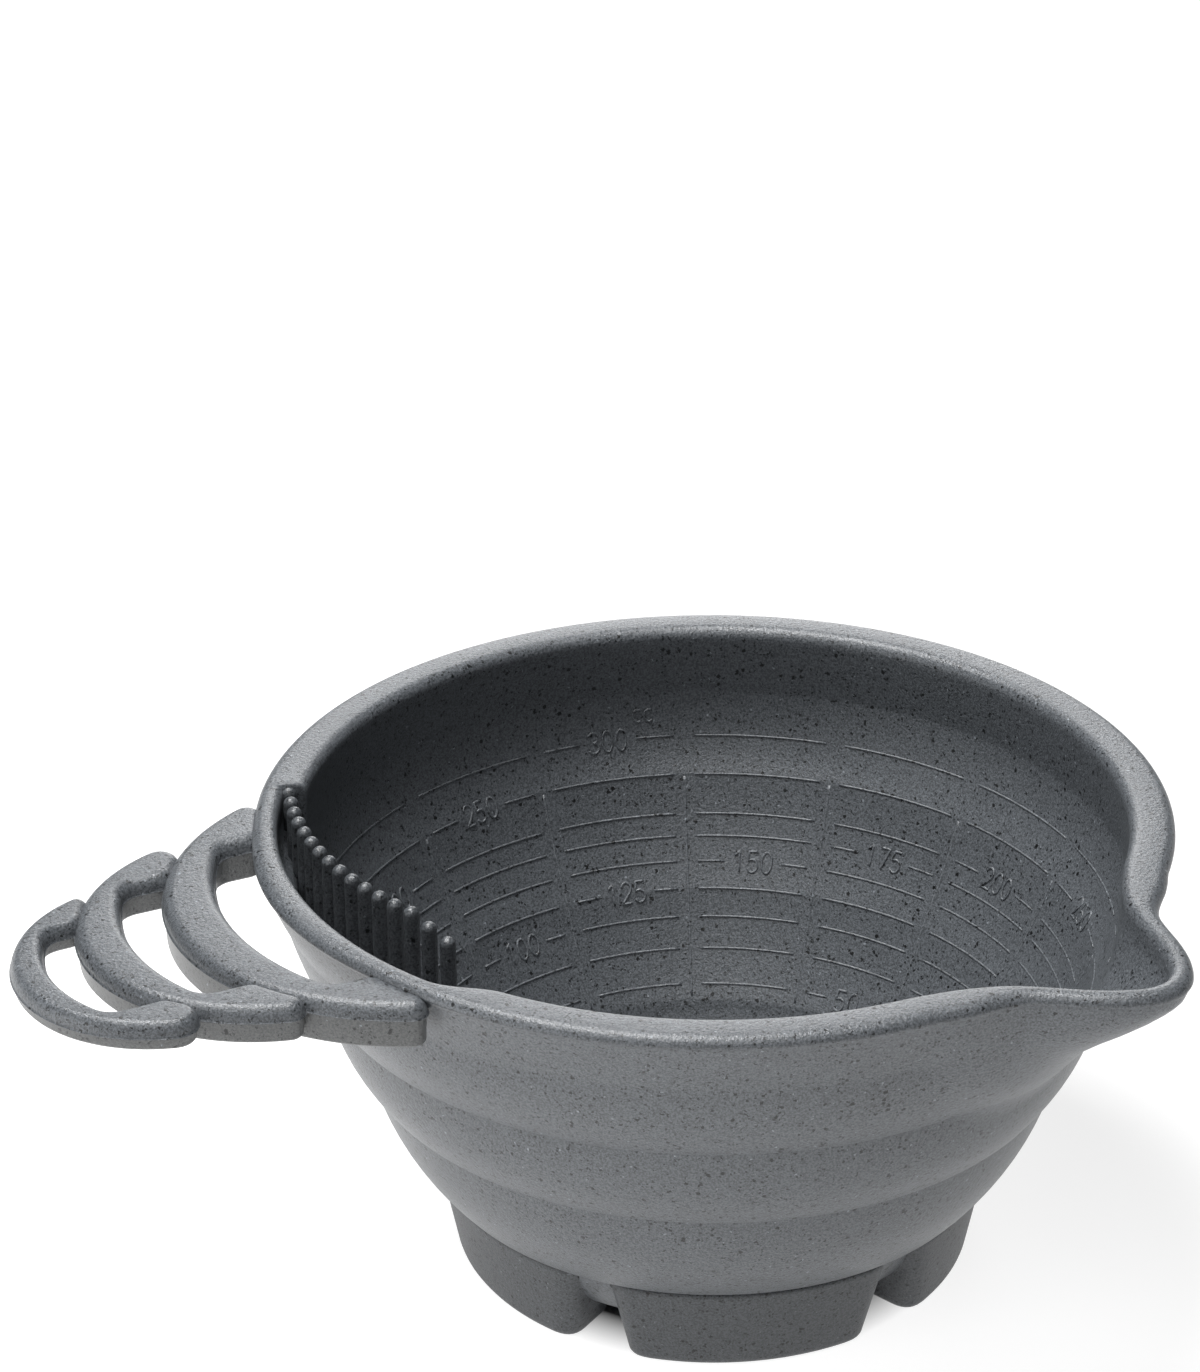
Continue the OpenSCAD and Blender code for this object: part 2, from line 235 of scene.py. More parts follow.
# Stage; the floor glows from the first to the second value over twice the reach
FLOOR_HALF = 6.0
FLOOR_Z = -0.0002
FLOOR_COLOUR = (0.3, 0.3, 0.3, 1.0)
FLOOR_GLOW = (0.68, 1.12)
FLOOR_GLOW_WAY = (-0.87, -0.50, 0.0)
# Distances in metres over which the floor's glow rises from nothing under the bowl to full: a painted
# shadow
FLOOR_SHADE = (0.028, 0.036)
FLOOR_GLOW_REACH = 0.13
WORLD_LOW = 0.9
WORLD_HIGH = 0.12
WORLD_FADE_Z = 0.15
# Lamps: name, place with +Y away from the camera, size and power
LAMPS = [
    ("key_left", (-0.30, 0.0, 1.0), 0.28, 4.9),
    ("key_back", (-0.30, 0.20, 1.0), 0.28, 3.5),
    ("key_top", (-0.15, 0.10, 1.0), 0.28, 8.2),
    ("fill_front", (-0.10, -0.60, 0.85), 0.50, 3.6),
    ("low_left", (-0.90, -0.50, 0.14), 0.35, 3.0),
    ("back", (0.0, 1.0, 0.35), 0.50, 3.8),
]
AIM = (0.0, 0.0, 0.05)

# Camera
CAMERA_TURN = math.radians(-26.7)
CAMERA_PLACE = (-0.2269, -0.4511, 0.3315)
CAMERA_PITCH = 25.86
CAMERA_YAW = -1.77
CAMERA_ROLL = -0.55
CAMERA_LENS = 107.08


# ---------------------------------------- plain geometry


def fillet(points, radii, step=15.0):
    """A path through points with every corner rounded by its radius."""
    made = [np.array(points[0], float)]
    for before, here, after, r in zip(points, points[1:], points[2:], radii):
        p = np.array(here, float)
        a = np.array(before, float) - p
        b = np.array(after, float) - p
        la, lb = np.linalg.norm(a), np.linalg.norm(b)
        a, b = a / la, b / lb
        angle = math.acos(max(-1.0, min(1.0, float(a @ b))))
        if r <= 0 or angle > math.pi - 0.02:
            made.append(p)
            continue
        t = min(r / math.tan(angle / 2), 0.48 * la, 0.48 * lb)
        r = t * math.tan(angle / 2)
        centre = p + (a + b) / np.linalg.norm(a + b) * (r / math.sin(angle / 2))
        u, v = p + a * t - centre, p + b * t - centre
        sweep = math.pi - angle
        count = max(2, int(math.degrees(sweep) / step) + 1)
        for k in range(count + 1):
            f = k / count
            w = (u * math.sin((1 - f) * sweep) + v * math.sin(f * sweep)) / math.sin(sweep)
            made.append(centre + w)
    made.append(np.array(points[-1], float))
    return np.array(made)


def bulge(p, q, b, n=8):
    """Points strictly between p and q, standing out by b to the right of the way from p to q."""
    p, q = np.array(p, float), np.array(q, float)
    d = q - p
    side = np.array([d[1], -d[0]]) / np.linalg.norm(d)
    return [p + d * t + side * (4 * b * t * (1 - t)) for t in np.linspace(0, 1, n + 1)[1:-1]]


def resample(path, longest):
    """The path with more points, so that no step is longer than that."""
    made = [path[0]]
    for a, b in zip(path, path[1:]):
        n = max(1, int(math.ceil(np.linalg.norm(b - a) / longest)))
        made += [a + (b - a) * (k / n) for k in range(1, n + 1)]
    return np.array(made)


def smooth_max(a, b, k):
    h = np.maximum(k - np.abs(a - b), 0.0) / k
    return np.maximum(a, b) + h * h * k / 4


def smoothstep(x):
    x = np.clip(x, 0.0, 1.0)
    return x * x * (3 - 2 * x)


def angle_from(a, centre):
    """Signed angle from centre to a, in degrees."""
    return (np.asarray(a) - centre + 180.0) % 360.0 - 180.0


# ---------------------------------------- the bowl's surface


def outer_path():
    """Outside of the wall, from the middle of the underside up to the parting line."""
    points = [(0.0, FLOOR_BOTTOM), UNDERSIDE_EDGE]
    radii = [2.5]
    slope = bulge(UNDERSIDE_EDGE, UNDERSIDE_TOP, UNDERSIDE_BULGE)
    points += [tuple(p) for p in slope]
    radii += [0.0] * len(slope)
    points.append((UNDERSIDE_TOP[0], UNDERSIDE_TOP[1] + 0.1))
    radii.append(0.5)
    creases = [CREASE_LOWER, CREASE_MIDDLE, CREASE_UPPER, CREASE_TOP]
    for low, high, amount in zip(creases, creases[1:], BAND_BULGES):
        lip = (low[0] + BAND_LIP[0], low[1] + BAND_LIP[1])
        points.append(lip)
        radii.append(BAND_LIP_R)
        band = bulge(lip, high, amount, 10)
        points += [tuple(p) for p in band]
        radii += [0.0] * len(band)
        points.append(high)
        radii.append(CREASE_TOP_R if high == CREASE_TOP else CREASE_R)
    points.append((RIM_R - PARTING_STEP - 0.05, PARTING_Z))
    return resample(fillet(points, radii), WALL_STEP)


def inner_path():
    """Inside of the wall, from the rim's rounding down to the middle of the floor."""
    points = [(RIM_INNER_R, RIM_TOP - RIM_ROUND), STEP_TOP]
    radii = [1.2]
    for top, bottom, amount, r in INNER_STRETCHES:
        stretch = bulge(top, bottom, amount, 10)
        points += [tuple(p) for p in stretch]
        radii += [0.0] * len(stretch)
        points.append(bottom)
        radii.append(r)
    points.append((0.0, FLOOR_TOP))
    return resample(fillet(points, radii), WALL_STEP)


OUTER = outer_path()
INNER = inner_path()
WALL_INNER = INNER[INNER[:, 0] > FLOOR_R][::-1]
WALL_OUTER = OUTER[OUTER[:, 1] > CREASE_LOWER[1]]


def wall_inner_r(z):
    return np.interp(z, WALL_INNER[:, 1], WALL_INNER[:, 0])


def columns():
    """Angles of the mesh columns: dense in the spout and at the comb's ends."""
    spans = [
        (SPOUT_ANGLE - SPOUT_SECTOR, SPOUT_ANGLE + SPOUT_SECTOR, SPOUT_COLUMN_STEP),
        (SPOUT_ANGLE + SPOUT_SECTOR, COMB_START - 4.0, 1.0),
        (COMB_START - 4.0, COMB_START + 4.0, 0.25),
        (COMB_START + 4.0, COMB_END - 12.0, 1.0),
        (COMB_END - 12.0, COMB_END + 14.0, 0.8),
        (COMB_END + 14.0, 360.0 + SPOUT_ANGLE - SPOUT_SECTOR, 1.0),
    ]
    made = []
    for a, b, step in spans:
        n = int(round((b - a) / step))
        made += [a + (b - a) * k / n for k in range(n)]
    return np.array(made)


ANGLES = columns()
FROM_SPOUT = angle_from(ANGLES, SPOUT_ANGLE)


def spout_reach(depth, s, w, d):
    """Distance from the axis at which the spout's surface lies, for each column, at a depth."""
    grid = np.linspace(s[0], s[-1], 900)
    wide = np.maximum(np.interp(grid, s, w), 1e-3)
    deep = np.maximum(np.interp(grid, s, d), 1e-3)
    made = np.zeros(len(ANGLES))
    for k, phi in enumerate(FROM_SPOUT):
        if abs(phi) > SPOUT_SECTOR + 8:
            continue
        f = (grid * math.tan(math.radians(phi)) / wide) ** 2 + (depth / deep) ** 2 - 1
        inside = np.nonzero(f <= 0)[0]
        if len(inside):
            made[k] = grid[inside[-1]] / math.cos(math.radians(phi))
    return made


def soften(values, width):
    """Gaussian blur along the spout's columns, which are evenly spaced."""
    n, margin = SPOUT_COLUMNS, 30
    part = np.concatenate([values[-margin:], values[: n + margin]])
    reach = int(3 * width / SPOUT_COLUMN_STEP)
    kernel = np.exp(-0.5 * (np.arange(-reach, reach + 1) * SPOUT_COLUMN_STEP / width) ** 2)
    kernel /= kernel.sum()
    padded = np.pad(part, reach, mode="edge")
    blurred = np.convolve(padded, kernel, mode="valid")
    made = values.copy()
    made[:n] = blurred[margin : margin + n]
    return made


def ring_outer_r():
    """Outer radius of the rim: a circle that swells a little behind the handle."""
    beta = np.radians(angle_from(ANGLES, 180.0))
    across = SWELL_CENTRE * np.sin(beta)
    far = SWELL_CENTRE * np.cos(beta) + np.sqrt(np.maximum(SWELL_R**2 - across**2, 0))
    far = np.where(np.abs(beta) < math.radians(SWELL_HALF_ANGLE), far, 0)
    return smooth_max(np.full(len(ANGLES), RIM_R), far, 1.0)


def comb_cut():
    """How far the inside of the rim is cut back at each column."""
    a = ANGLES % 360.0
    start = smoothstep((a - COMB_START + 0.5) / 1.0)
    end = 1.0 - smoothstep((a - COMB_END) / COMB_BLEND)
    return COMB_CUT * start * end


CUT = comb_cut()
RING_R = ring_outer_r()


def outer_row(r, z):
    """Radii of the outside at height z, where the plain wall has radius r."""
    depth = PARTING_Z - z
    swell = (RING_R - RIM_R) * smoothstep((z - SWELL_LOW_Z) / SWELL_RISE)
    plain = np.full(len(ANGLES), r) + swell
    if depth > SPOUT_OUTER_DEPTH:
        return plain
    reach = spout_reach(max(depth, 0.0), SPOUT_OUTER_S, SPOUT_OUTER_W, SPOUT_OUTER_D) - PARTING_STEP
    return with_spout(plain, reach, SPOUT_OUTER_BLEND)


def inner_row(r, z, cut=CUT):
    """Radii of the inside at height z, where the plain wall has radius r."""
    depth = RIM_TOP - RIM_ROUND - z
    back = cut * smoothstep((z - COMB_CUT_LOW_Z) / COMB_CUT_RISE)
    plain = np.full(len(ANGLES), r) + back
    if depth > SPOUT_INNER_DEPTH:
        return plain
    reach = spout_reach(max(depth, 0.0), SPOUT_INNER_S, SPOUT_INNER_W, SPOUT_INNER_D)
    return with_spout(plain, reach, SPOUT_INNER_BLEND)


def with_spout(plain, reach, blend):
    """The plain radii, led into the spout's within its sector."""
    near = np.abs(FROM_SPOUT) < SPOUT_SECTOR + 0.01
    return soften(np.where(near, smooth_max(plain, reach, blend), plain), SPOUT_SOFTNESS)


def plan_normals(x, y):
    """Outward normals of a closed line in plan."""
    tx, ty = np.roll(x, -1) - np.roll(x, 1), np.roll(y, -1) - np.roll(y, 1)
    size = np.hypot(tx, ty)
    return ty / size, -tx / size


def rim_rounding(ax, ay, bx, by):
    """Edge rounding of the rim at each column, smaller where the rim is narrow."""
    width = np.array([np.hypot(bx - x, by - y).min() for x, y in zip(ax, ay)])
    fits = np.minimum(RIM_ROUND, width / 2 - RIM_FLAT_HALF)
    kernel = np.ones(7) / 7
    padded = np.concatenate([fits[-3:], fits, fits[:3]])
    return np.minimum(fits, np.convolve(padded, kernel, mode="valid"))


def bowl_rows():
    """The closed section as rows of points: the outside, the rim and the inside, all round."""
    c, s = np.cos(np.radians(ANGLES)), np.sin(np.radians(ANGLES))
    rows, kinds = [], []

    def add(r, z, kind):
        rows.append(np.stack([r * c, r * s, np.full(len(ANGLES), z)], 1))
        kinds.append(kind)

    for r, z in OUTER[1:]:
        add(outer_row(r, z), z, ("out", z))
    edge = outer_row(RIM_R - PARTING_STEP, PARTING_Z) + PARTING_STEP
    ex, ey = edge * c, edge * s
    nx, ny = plan_normals(ex, ey)
    lip = inner_row(RIM_INNER_R, RIM_TOP - RIM_ROUND)
    ix, iy = lip * c, lip * s
    plain = inner_row(RIM_INNER_R, RIM_TOP - RIM_ROUND, 0.0 * CUT)
    mx, my = plan_normals(plain * c, plain * s)
    rounding = rim_rounding(ex, ey, ix, iy)
    start = PARTING_Z + 0.12
    rows.append(np.stack([ex - nx * 0.06, ey - ny * 0.06, np.full(len(ex), PARTING_Z + 0.02)], 1))
    kinds.append(("rim", PARTING_Z))
    for a in np.radians(np.linspace(0, 90, 10)):
        e = rounding * (1 - math.cos(a))
        z = start + (RIM_TOP - start) * math.sin(a)
        rows.append(np.stack([ex - nx * e, ey - ny * e, np.full(len(ex), z)], 1))
        kinds.append(("rim", z))
    start = RIM_TOP - RIM_ROUND
    for a in np.radians(np.linspace(90, 0, 10)):
        e = rounding * (1 - math.cos(a))
        z = start + (RIM_TOP - start) * math.sin(a)
        rows.append(np.stack([ix + mx * e, iy + my * e, np.full(len(ix), z)], 1))
        kinds.append(("rim", z))
    for r, z in INNER[1:-1]:
        add(inner_row(r, z), z, ("in", z))
    return np.array(rows), kinds


def grid_normals(rows):
    """Normals of the whole surface, so that neighbouring pieces shade as one."""
    along = np.gradient(rows, axis=0)
    lengths = np.linalg.norm(np.diff(rows, axis=0), axis=2, keepdims=True)
    for k in range(1, len(rows) - 1):
        a, b = rows[k] - rows[k - 1], rows[k + 1] - rows[k]
        la, lb = lengths[k - 1] + 1e-9, lengths[k] + 1e-9
        along[k] = (a / la) / la + (b / lb) / lb
    around = np.roll(rows, -1, axis=1) - np.roll(rows, 1, axis=1)
    n = np.cross(around, along)
    return n / np.maximum(np.linalg.norm(n, axis=2, keepdims=True), 1e-12)


# ---------------------------------------- meshes


def add_object(name, verts, faces, normals=None, smooth=True):
    """A mesh object; normals, where given, are one per face corner, in order."""
    mesh = bpy.data.meshes.new(name)
    places = [tuple(np.asarray(v) * MM) for v in verts]
    mesh.from_pydata(places, [], [tuple(int(i) for i in f) for f in faces])
    mesh.polygons.foreach_set("use_smooth", [smooth] * len(mesh.polygons))
    mesh.update()
    obj = bpy.data.objects.new(name, mesh)
    bpy.context.scene.collection.objects.link(obj)
    if normals is not None:
        mesh.normals_split_custom_set([tuple(n) for n in normals])
    return obj


class Shell:
    """Collects the faces of one piece of the bowl's wall, with the shared surface's normals."""

    def __init__(self, rows, normals):
        self.rows, self.normals = rows, normals
        self.verts, self.index, self.faces, self.corner = [], {}, [], []

    def vertex(self, i, j):
        """Number of the point in a row and column, made when it is first asked for."""
        j %= self.rows.shape[1]
        if (i, j) not in self.index:
            self.index[i, j] = len(self.verts)
            self.verts.append(self.rows[i, j])
        return self.index[i, j]

    def surface(self, i0, i1, cols):
        """Faces between two rows, over pairs of columns."""
        for i in range(i0, i1):
            for j, k in cols:
                quad = [(i, j), (i, k), (i + 1, k), (i + 1, j)]
                self.faces.append([self.vertex(*q) for q in quad])
                self.corner += [self.normals[a, b % self.rows.shape[1]] for a, b in quad]

    def flat(self, cells):
        """A face with its own flat normal, such as a joint between two pieces."""
        face = [self.vertex(*c) for c in cells]
        p = np.array([self.verts[v] for v in face])
        n = np.zeros(3)
        for a, b in zip(p, np.roll(p, -1, axis=0)):
            n += np.cross(a, b)
        n /= max(np.linalg.norm(n), 1e-12)
        self.faces.append(face)
        self.corner += [n] * len(face)

    def make(self, name):
        return add_object(name, self.verts, self.faces, self.corner)


def column_pairs(first, last, total):
    """Neighbouring columns from first to last, or all round."""
    if last - first < total:
        return [(j, j + 1) for j in range(first, last)]
    return [(j, (j + 1) % total) for j in range(total)]


def wall_piece(name, rows, normals, out_span, in_span, first, last):
    """A closed piece of wall: rows out_span outside, in_span inside, between two columns."""
    total = rows.shape[1]
    whole = last - first >= total
    pairs = column_pairs(first, last, total)
    shell = Shell(rows, normals)
    o0, o1 = out_span
    i0, i1 = in_span
    if o1 == i0:
        shell.surface(o0, i1, pairs)
    else:
        shell.surface(o0, o1, pairs)
        shell.surface(i0, i1, pairs)
        for j, k in pairs:
            shell.flat([(o1, j), (o1, k), (i0, k), (i0, j)])
    if o0 > 0 or i1 < len(rows) - 1:
        for j, k in pairs:
            shell.flat([(i1, j), (i1, k), (o0, k), (o0, j)])
    if not whole:
        outline = list(range(o0, o1 + 1)) + list(range(i0 if o1 != i0 else i0 + 1, i1 + 1))
        shell.flat([(i, first) for i in outline])
        shell.flat([(i, last) for i in reversed(outline)])
    return shell.make(name)


def nearest_row(kinds, kind, z):
    found = [(abs(k[1] - z), i) for i, k in enumerate(kinds) if k[0] == kind]
    return min(found)[1]


def build_bowl():
    rows, kinds = bowl_rows()
    normals = grid_normals(rows)
    total = len(ANGLES)
    creases = (CREASE_LOWER, CREASE_MIDDLE, CREASE_UPPER, CREASE_TOP)
    steps = (STEP_LOWER, STEP_MIDDLE, STEP_UPPER, STEP_TOP)
    out = [nearest_row(kinds, "out", crease[1]) for crease in creases]
    inn = [nearest_row(kinds, "in", step[1]) for step in steps]
    top_out = max(i for i, k in enumerate(kinds) if k[0] == "out")
    top_in = min(i for i, k in enumerate(kinds) if k[0] == "in") - 1
    whole, rest, spout = (0, total), (SPOUT_COLUMNS, total), (0, SPOUT_COLUMNS)
    spans = {
        "wall_band_lower": ((out[0], out[1]), (inn[1], inn[0]), whole),
        "wall_band_middle": ((out[1], out[2]), (inn[2], inn[1]), whole),
        "wall_band_upper": ((out[2], out[3]), (inn[3], inn[2]), rest),
        "wall_band_top": ((out[3], top_out), (top_in, inn[3]), rest),
        "rim": ((top_out, top_in), (top_in, top_in), rest),
        "pour_spout": ((out[2], top_in), (top_in, inn[2]), spout),
    }
    pieces = {}
    for name, (out_span, in_span, cols) in spans.items():
        pieces[name] = wall_piece(name, rows, normals, out_span, in_span, *cols)
    pieces["bowl_floor"] = floor_piece(rows, normals, out[0], inn[0])
    return pieces


def floor_piece(rows, normals, out_row, in_row):
    """The floor: its rim joins the lowest band, its two discs close at the axis."""
    total = rows.shape[1]
    pairs = column_pairs(0, total, total)
    shell = Shell(rows, normals)
    shell.surface(0, out_row, pairs)
    shell.surface(in_row, len(rows) - 1, pairs)
    for j, k in pairs:
        shell.flat([(out_row, j), (out_row, k), (in_row, k), (in_row, j)])
    for row, z, way in ((0, FLOOR_BOTTOM, -1), (len(rows) - 1, FLOOR_TOP, 1)):
        centre = len(shell.verts)
        shell.verts.append(np.array([0.0, 0.0, z]))
        for j, k in pairs:
            ring = [shell.vertex(row, j), shell.vertex(row, k)]
            shell.faces.append([centre] + (ring if way > 0 else ring[::-1]))
            shell.corner += [np.array([0.0, 0.0, float(way)])] * 3
    return shell.make("bowl_floor")


# ---------------------------------------- handle


def arc_points(centre, r, a0, a1, n=10):
    u, v = centre
    return [(u + r * math.cos(a), v + r * math.sin(a)) for a in np.linspace(a0, a1, n + 1)]


def circle_points(centre, r, a0, a1, step=0.45):
    """An arc with points about a step apart."""
    return arc_points(centre, r, a0, a1, max(2, int(abs(a1 - a0) * r / step)))


def meet(c0, r0, c1, r1):
    """Meeting point of two circles on the left of the way from the second to the first."""
    gap = np.array(c0) - np.array(c1)
    d = np.linalg.norm(gap)
    along = (r1 * r1 - r0 * r0 + d * d) / (2 * d)
    side = np.array([-gap[1], gap[0]]) / d
    return np.array(c1) + gap / d * along + side * math.sqrt(max(r1 * r1 - along * along, 0.0))


def half_loop(spec, lean, end_r):
    """The half of a loop's plan with v above 0, from the outer arc's tip to the hole's.
    u points away from the bowl; lean is the centre of the disc that the loop leans on."""
    centre, hole = (spec.centre, 0.0), (spec.hole_centre, 0.0)
    back_r = spec.lean_r - LOOP_OVERLAP
    cap = meet(centre, spec.r - end_r, lean, back_r + end_r)
    cap_out = math.atan2(cap[1], cap[0] - spec.centre)
    cap_in = math.atan2(cap[1] - lean[1], cap[0] - lean[0])
    points = circle_points(centre, spec.r, 0.0, cap_out)
    points += arc_points(cap, end_r, cap_out, cap_in + math.pi)[1:]
    back_v = spec.hole_half + LOOP_BACK_CORNER_R
    back_u = lean[0] + math.sqrt((back_r + LOOP_BACK_CORNER_R) ** 2 - (back_v - lean[1]) ** 2)
    back_angle = math.atan2(back_v - lean[1], back_u - lean[0])
    points += circle_points(lean, back_r, cap_in, back_angle)[1:]
    back = (back_u, back_v)
    points += arc_points(back, LOOP_BACK_CORNER_R, back_angle + math.pi, 1.5 * math.pi)[1:]
    corner_v = spec.hole_half - LOOP_HOLE_CORNER_R
    corner_u = spec.hole_centre + math.sqrt((spec.hole_r - LOOP_HOLE_CORNER_R) ** 2 - corner_v**2)
    hole_angle = math.atan2(corner_v, corner_u - spec.hole_centre)
    points += arc_points((corner_u, corner_v), LOOP_HOLE_CORNER_R, 0.5 * math.pi, hole_angle)
    return points + circle_points(hole, spec.hole_r, hole_angle, 0.0)[1:]


def loop_outline(spec):
    """Plan of one loop, counter-clockwise, in its own axes."""
    swing = math.radians(spec.turn)
    u, v = spec.lean_centre * math.cos(swing), spec.lean_centre * math.sin(swing)
    upper = half_loop(spec, (u, v), spec.back_r)
    lower = [(a, -b) for a, b in reversed(half_loop(spec, (u, -v), spec.front_r)[1:-1])]
    return resample_closed(np.array(upper + lower), 0.5)


def resample_closed(points, longest):
    return resample(np.vstack([points, points[:1]]), longest)[:-1]


def inset(line, amount):
    """A closed counter-clockwise line moved inwards by amount."""
    t = np.roll(line, -1, axis=0) - np.roll(line, 1, axis=0)
    t /= np.maximum(np.linalg.norm(t, axis=1, keepdims=True), 1e-9)
    n = np.stack([t[:, 1], -t[:, 0]], 1)
    return line - n * amount


def layered_solid(layers, place):
    """A solid from closed lines, one per layer from bottom to top, all with as many points.
    layers is a list of (line, z) and place turns (u, v, z) into a point of the frame."""
    n = len(layers[0][0])
    verts, faces = [], []
    for line, z in layers:
        verts += [place(u, v, z) for u, v in line]
    for k in range(len(layers) - 1):
        for i in range(n):
            j = (i + 1) % n
            faces.append([k * n + i, k * n + j, (k + 1) * n + j, (k + 1) * n + i])
    for k, up in ((0, False), (len(layers) - 1, True)):
        line = layers[k][0]
        for tri in tessellate_polygon([[Vector((u, v, 0)) for u, v in line]]):
            a, b, c = (line[i] for i in tri)
            area = (b[0] - a[0]) * (c[1] - a[1]) - (b[1] - a[1]) * (c[0] - a[0])
            if abs(area) < 1e-9:
                continue
            tri = tri if (area > 0) == up else tri[::-1]
            faces.append([k * n + i for i in tri])
    return verts, faces


def loop_layers(line, top, thickness, rounding):
    """Closed lines from the lower face up, with a thin ridge left by the mould's parting."""
    low = top - thickness
    shoulder = HANDLE_PARTING + 0.14
    steps = [
        (1.1, low),
        (0.75, low + 0.12),
        (0.5, low + 0.45),
        (0.34, HANDLE_PARTING - 0.16),
        (0.04, HANDLE_PARTING - 0.06),
        (0.0, HANDLE_PARTING),
        (0.04, HANDLE_PARTING + 0.06),
        (PARTING_RIDGE, shoulder),
    ]
    for a in np.radians(np.linspace(10, 90, 9)):
        drawn_in = PARTING_RIDGE + (rounding - PARTING_RIDGE) * (1 - math.cos(a))
        steps.append((drawn_in, shoulder + (top - shoulder) * math.sin(a)))
    return [(inset(line, e), z) for e, z in steps]


def build_handle():
    pieces = {}
    for spec in LOOPS:
        swing = math.radians(spec.turn)
        c, s = math.cos(swing), math.sin(swing)

        def place(u, v, z):
            return np.array([-u * c - v * s, v * c - u * s, z])

        layers = loop_layers(loop_outline(spec), HANDLE_TOP, spec.thickness, spec.rounding)
        verts, faces = layered_solid(layers, place)
        pieces[spec.name] = add_object(spec.name, verts, [f[::-1] for f in faces])
    return pieces


# ---------------------------------------- comb


def comb_pin(verts, faces, x, y, base, tip, sides=20):
    """One round pin with a domed tip, standing in the wall."""
    start = len(verts)
    profile = [(PIN_R + 0.1, base), (PIN_R + 0.05, (base + tip) / 2)]
    for a in np.linspace(0, 80, 8):
        a = math.radians(a)
        profile.append((PIN_R * math.cos(a), tip - PIN_R + PIN_R * math.sin(a)))
    for r, z in profile:
        for k in range(sides):
            a = 2 * math.pi * k / sides
            verts.append(np.array([x + r * math.cos(a), y + r * math.sin(a), z]))
    for i in range(len(profile) - 1):
        for k in range(sides):
            j = (k + 1) % sides
            a = start + i * sides
            faces.append([a + k, a + j, a + sides + j, a + sides + k])
    verts.append(np.array([x, y, tip]))
    last = start + (len(profile) - 1) * sides
    for k in range(sides):
        faces.append([last + k, last + (k + 1) % sides, len(verts) - 1])
    faces.append([start + k for k in reversed(range(sides))])


def build_comb():
    """The pins; each starts inside the wall, but not so low that it comes out below it."""
    verts, faces = [], []
    outer_r = np.maximum.accumulate(WALL_OUTER[:, 0])
    for i in range(PIN_COUNT):
        a = math.radians(COMB_FIRST_ANGLE - COMB_STEP * i)
        x = COMB_CENTRE[0] + COMB_R * math.cos(a)
        y = COMB_CENTRE[1] + COMB_R * math.sin(a)
        r = math.hypot(x, y)
        buried = float(np.interp(r - PIN_R, WALL_INNER[:, 0], WALL_INNER[:, 1])) - PIN_BURIED
        covered = float(np.interp(r + PIN_R + PIN_COVER, outer_r, WALL_OUTER[:, 1]))
        base = min(max(buried, covered), PIN_BASE_TOP)
        comb_pin(verts, faces, x, y, base, PIN_TIPS.get(i, PIN_TOP))
    return {"brush_comb": add_object("brush_comb", verts, faces)}


# ---------------------------------------- feet


def rounded_closed(points, radii, per_corner=8):
    """A closed line with some corners rounded; each rounded corner has a fixed number of points."""
    n = len(points)
    made = []
    pts = [np.array(p, float) for p in points]
    for i in range(n):
        r = radii.get(i, 0)
        if not r:
            made.append(pts[i])
            continue
        reach_a, reach_b = corner_reach(pts, i, -1, r), corner_reach(pts, i, 1, r)
        a, b = pts[i] + reach_a, pts[i] + reach_b
        for t in np.linspace(0, 1, per_corner):
            made.append((1 - t) ** 2 * a + 2 * t * (1 - t) * pts[i] + t * t * b)
    return np.array(made)


def corner_reach(pts, i, way, r):
    other = pts[(i + way) % len(pts)]
    d = other - pts[i]
    return d / np.linalg.norm(d) * r


def foot_section(share, grow, half_pitch):
    """Foot's plan at a share of its height. The long arcs start clear of the rounded corners."""
    half = math.radians(half_pitch - SLOT_HALF_BOTTOM + (SLOT_HALF_BOTTOM - SLOT_HALF_TOP) * share)
    r = FOOT_R_BOTTOM + (FOOT_R_TOP - FOOT_R_BOTTOM) * share
    ri = r - FOOT_WALL
    inner_half = half - FOOT_WALL / ri
    outer_end = half - (FOOT_CORNER_R + 0.5) / r
    inner_end = inner_half - (FOOT_INNER_CORNER_R + 0.4) / ri
    outer = arc_points((0.0, 0.0), r, -outer_end, outer_end, 24)
    inner = arc_points((0.0, 0.0), ri, inner_end, -inner_end, 20)
    tail = (FOOT_INNER_R * math.cos(half), FOOT_INNER_R * math.sin(half))
    side = [
        (r * math.cos(half), r * math.sin(half)),
        tail,
        (tail[0] + FOOT_WALL * math.sin(half), tail[1] - FOOT_WALL * math.cos(half)),
        (ri * math.cos(inner_half), ri * math.sin(inner_half)),
    ]
    side_radii = [FOOT_CORNER_R, FOOT_TAIL_R, FOOT_TAIL_R, FOOT_INNER_CORNER_R]
    points = outer + side + inner + [(u, -v) for u, v in reversed(side)]
    radii = {}
    for k, corner_r in enumerate(side_radii):
        radii[len(outer) + k] = corner_r
        radii[len(points) - 1 - k] = corner_r
    return inset(rounded_closed(points, radii), grow)


